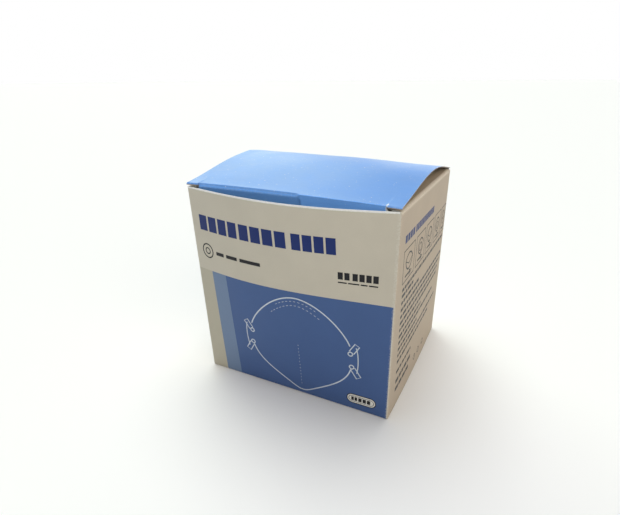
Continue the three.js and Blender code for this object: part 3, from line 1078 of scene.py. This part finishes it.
# Bars in place of words: the lower and upper edge of a line of them, then for each word its left
# and right end and how many bars it has.
HEADING_HEIGHTS = (130.6, 142.4)
HEADING_WORDS = ((-73.0, -34.0, 4), (-31.6, 7.6, 4), (11.8, 43.0, 4))
NOTE_HEIGHTS = (112.6, 115.4)
NOTE_WORDS = ((-58.2, -50.2, 1), (-47.6, -36.8, 1), (-34.2, -15.4, 1))
FIGURE_HEIGHTS = (113.0, 118.4)
FIGURE_WORDS = ((43.6, 51.6, 2), (53.6, 70.8, 4))
COUNT_HEIGHTS = (9.3, 12.9)
COUNT_WORDS = ((53.0, 57.8, 2), (58.8, 68.4, 3))
SIGN_CENTRE = (-67.6, 114.2)
SIGN_RINGS = ((5.6, 1.0), (2.4, 0.9))  # radius and line
BADGE_BOX = (49.4, 72.6, 6.8, 15.2)  # left, right, lower and upper edge
BADGE_LAYERS = (
    # name, how far its edge lies inside the box, ink
    ("front_badge_outline", -0.4, TEXT),
    ("front_badge", 0.3, BADGE),
    ("front_badge_line", 1.3, TEXT),
    ("front_badge_middle", 1.7, BADGE),
)


def draw_words(film, words, heights, gap):
    for left, right, bars in words:
        word_bars(film, left, right, heights, [1] * bars, gap)


def build_front_print():
    lines = PrintFilm(front_point)
    draw_mask(lines)
    finish_print(lines, "front_line_print", LINE)

    heading = PrintFilm(front_point)
    draw_words(heading, HEADING_WORDS, HEADING_HEIGHTS, 0.22)
    finish_print(heading, "front_heading_bars", NAVY)

    small = PrintFilm(front_point)
    for radius, line in SIGN_RINGS:
        small.ring(*SIGN_CENTRE, radius, line)
    draw_words(small, NOTE_WORDS, NOTE_HEIGHTS, 0)
    draw_words(small, FIGURE_WORDS, FIGURE_HEIGHTS, 0.3)
    word_bars(small, 43.6, 70.6, (110.2, 111.2), [4, 5, 3, 4], 0.6)
    finish_print(small, "front_small_print", TEXT)

    left, right, low, high = BADGE_BOX
    for layer, (name, inset, ink) in enumerate(BADGE_LAYERS, start=1):
        badge = PrintFilm(front_point, RAISED_PRINT * layer)
        badge.pill(left + inset, right - inset, low + inset, high - inset)
        finish_print(badge, name, ink)
    count = PrintFilm(front_point, RAISED_PRINT * (len(BADGE_LAYERS) + 1))
    draw_words(count, COUNT_WORDS, COUNT_HEIGHTS, 0.3)
    finish_print(count, "front_badge_bars", TEXT)


# ---- Print on the right wall ----

TEXT_LEFT = -58.6
TEXT_LINES = (
    # height of the line's middle, where it ends
    (103.2, 68.0),
    (98.4, -29.0),
    (93.0, -11.0),
    (87.4, 68.0),
    (82.0, 63.0),
    (76.6, 58.0),
    (71.2, 55.0),
    (65.6, 1.0),
    (60.4, 43.0),
    (54.8, -7.0),
    (49.4, 58.0),
    (43.6, 33.0),
    (34.4, -21.0),
)
TEXT_HEIGHT = 2.5
BOLD_LINES = ((25.6, -17.0), (18.0, -21.0))
BOLD_HEIGHT = 3.4
SIDE_HEADING_WORDS = ((-59.5, -37.0, 4), (-34.0, 19.4, 12))
SIDE_HEADING_HEIGHTS = (137.4, 142.8)
DOTS = (-5.0, 7.5, 22.0)  # middles of the small rings in the bottom row
FRAME_HEIGHTS = (108.4, 132.0)
# Left and right edge of each framed figure.
FRAMES = ((-60.0, -33.6), (-28.4, -4.4), (0.6, 23.2), (28.2, 50.0), (54.6, 70.0))


def draw_pictogram(film, left, right, kind):
    """A plain figure in a frame: a cup shape with a fold or a ring, above an arrow."""
    film.frame(left, right, *FRAME_HEIGHTS, 0.7)
    x = (left + right) / 2
    z = 120.0
    width = (right - left) * 0.30
    for reach, edge in ((width * 0.5, z + 9), (width * 0.7, z - 7)):
        curve = cubic((x - width, z + 3), (x - reach, edge), (x + reach, edge), (x + width, z + 3), 10)
        film.ribbon(curve, 1.1)
    if kind % 2 == 0:
        film.ribbon([(x - width, z + 3), (x, z - 0.5), (x + width, z + 3)], 0.7)
    else:
        film.ring(x, z + 1, width * 0.45, 0.8)
    film.ribbon([(x - width, z - 8), (x + width * 0.6, z - 8)], 1.4)
    film.ribbon([(x + width * 0.2, z - 6.2), (x + width, z - 8), (x + width * 0.2, z - 9.8)], 1.0)


def text_line(film, rng, z, end, height):
    """A line of short bars of random lengths."""
    y = TEXT_LEFT
    while y < end - 2:
        word = rng.uniform(3.0, 8.5)
        film.block(y, min(y + word, end), z - height / 2, z + height / 2)
        y += word + 1.5


def build_right_print():
    heading = PrintFilm(right_point)
    draw_words(heading, SIDE_HEADING_WORDS, SIDE_HEADING_HEIGHTS, 0.25)
    finish_print(heading, "side_heading_bars", NAVY)

    film = PrintFilm(right_point)
    rng = random.Random(7)
    for kind, (left, right) in enumerate(FRAMES):
        draw_pictogram(film, left, right, kind)
    for lines, height in ((TEXT_LINES, TEXT_HEIGHT), (BOLD_LINES, BOLD_HEIGHT)):
        for z, end in lines:
            text_line(film, rng, z, end, height)
    for y in DOTS:
        film.ring(y, 14.6, 2.6, 0.8)
    finish_print(film, "side_small_print", TEXT)


# ---- Base and glue flap ----


def finish_cad_nodes():
    """The frame's own solids that stay in view take a board finish."""
    for name, material in (
        ("glue_flap", CAD_PLAIN),
        ("bottom_outer_flap", CAD_WALL),
        ("bottom_inner_flap", CAD_PLAIN),
        ("bottom_dust_flap_left", CAD_PLAIN),
        ("bottom_dust_flap_right", CAD_PLAIN),
    ):
        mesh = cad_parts[name].data
        mesh.materials.clear()
        mesh.materials.append(material)


# ---- Studio ----

# Brightness of the sky by the sine of the height above the horizon.
SKY_LEVELS = ((0.0, 0.93), (0.17, 0.93), (0.32, 0.24), (0.78, 0.24), (0.9, 0.8))
WHITE = (1.0, 1.0, 1.0)
ROOM_SHADE = (0.38, 0.43, 0.47)
FLOOR_SHADE = (0.89, 0.89, 0.89)
# Where the backdrop's middle lies, and the degrees from it where it starts to fade and is gone.
BACKDROP = ((-0.44, 0.90, 0.0), 42, 58)
# The same for a window and for the glow low behind the carton, each with its colour.
WINDOWS = (
    ((-0.66, 0.62, 0.43), 8, 30, (1.9, 2.15, 1.7)),
    ((-0.12, 0.96, 0.22), 5, 18, (0.9, 0.95, 0.85)),
)
# Soft suns: where each comes from, its spread in degrees, its strength and its colour.
SUNS = {
    "overhead": ((-0.15, 0.2, 1.0), 50, 2.1, (0.97, 0.99, 1.0)),
    "warm_side": ((0.7, -0.4, 0.55), 50, 0.86, (1.0, 0.83, 0.63)),
}


# The camera: where it stands round and above its target, its roll in degrees, its distance from
# the target, its lens, and the shifts of its picture.
CAMERA_AZIMUTH = 25.814
CAMERA_ELEVATION = 25.945
CAMERA_ROLL = -0.459
CAMERA_TARGET = (-1.554, 0, 66.573)
CAMERA_DISTANCE = 382.52
CAMERA_LENS = 24.499
CAMERA_SHIFT = (-0.02913, 0.04063)


def build_camera():
    """A phone's wide view from the front right, above the lid."""
    azimuth = math.radians(CAMERA_AZIMUTH)
    elevation = math.radians(CAMERA_ELEVATION)
    roll = math.radians(CAMERA_ROLL)
    level = math.cos(elevation)
    back = Vector((math.sin(azimuth) * level, -math.cos(azimuth) * level, math.sin(elevation)))
    right = Vector((math.cos(azimuth), math.sin(azimuth), 0))
    up = back.cross(right)
    rolled_right = right * math.cos(roll) + up * math.sin(roll)
    rolled_up = up * math.cos(roll) - right * math.sin(roll)
    data = bpy.data.cameras.new("camera")
    data.sensor_width = 36
    data.lens = CAMERA_LENS
    data.shift_x, data.shift_y = CAMERA_SHIFT
    camera = bpy.data.objects.new("camera", data)
    bpy.context.scene.collection.objects.link(camera)
    camera.location = (Vector(CAMERA_TARGET) + back * CAMERA_DISTANCE) * MM
    camera.rotation_euler = Matrix((rolled_right, rolled_up, back)).transposed().to_euler()
    bpy.context.scene.camera = camera


def build_floor():
    bpy.ops.mesh.primitive_plane_add(size=60, location=(0, 0, 0))
    floor = bpy.context.object
    floor.name = "studio_floor"
    nodes = Nodes(bpy.data.materials.new("studio_floor"))
    nodes.put(FLOOR_SHADE, nodes.shader.inputs["Base Color"])
    nodes.put(0.9, nodes.shader.inputs["Roughness"])
    nodes.put(0.1, nodes.shader.inputs["Specular IOR Level"])
    floor.data.materials.append(nodes.owner)


def facing(nodes, coordinates, direction, inner, outer):
    """1 within inner degrees of a direction, falling to 0 at outer degrees."""
    dot = nodes.add("ShaderNodeVectorMath", operation="DOT_PRODUCT")
    nodes.link(coordinates, dot.inputs[0])
    dot.inputs[1].default_value = Vector(direction).normalized()
    low, high = math.cos(math.radians(outer)), math.cos(math.radians(inner))
    return nodes.remap(dot.outputs["Value"], low, high, 0.0, 1.0, smooth=True)


def build_world():
    """Light from a white backdrop behind the carton, a dimmer room and a large window.

    The backdrop itself looks plain white from every side.
    """
    nodes = Nodes(bpy.data.worlds.new("studio"))
    coordinates = nodes.add("ShaderNodeTexCoord").outputs["Generated"]
    parts = nodes.add("ShaderNodeSeparateXYZ")
    ramp = nodes.add("ShaderNodeValToRGB")
    nodes.link(coordinates, parts.inputs[0])
    nodes.link(parts.outputs["Z"], ramp.inputs["Fac"])
    elements = ramp.color_ramp.elements
    while len(elements) < len(SKY_LEVELS):
        elements.new(0.5)
    for element, (place, level) in zip(elements, SKY_LEVELS):
        element.position = place
        element.color = (level, level, level, 1)
    room = nodes.mix(facing(nodes, coordinates, *BACKDROP), ROOM_SHADE, WHITE)
    colour = nodes.mix(1.0, ramp.outputs["Color"], room, "MULTIPLY")
    for direction, inner, outer, glow in WINDOWS:
        colour = nodes.mix(facing(nodes, coordinates, direction, inner, outer), colour, glow, "ADD")
    seen = nodes.add("ShaderNodeLightPath").outputs["Is Camera Ray"]
    nodes.link(nodes.mix(seen, colour, WHITE), nodes.shader.inputs["Color"])
    bpy.context.scene.world = nodes.owner


def build_suns():
    for name, (source, spread, strength, colour) in SUNS.items():
        data = bpy.data.lights.new(name, "SUN")
        data.energy = strength
        data.angle = math.radians(spread)
        data.color = colour
        light = bpy.data.objects.new(name, data)
        bpy.context.scene.collection.objects.link(light)
        light.rotation_euler = (-Vector(source)).to_track_quat("-Z", "Y").to_euler()


bpy.context.scene.view_settings.view_transform = "Standard"

build_camera()
build_sleeve()
build_dust_flap(1, "right")
build_dust_flap(-1, "left")
build_lid()
build_rear_crease()
build_tuck()
build_front_print()
build_right_print()
finish_cad_nodes()
build_floor()
build_world()
build_suns()
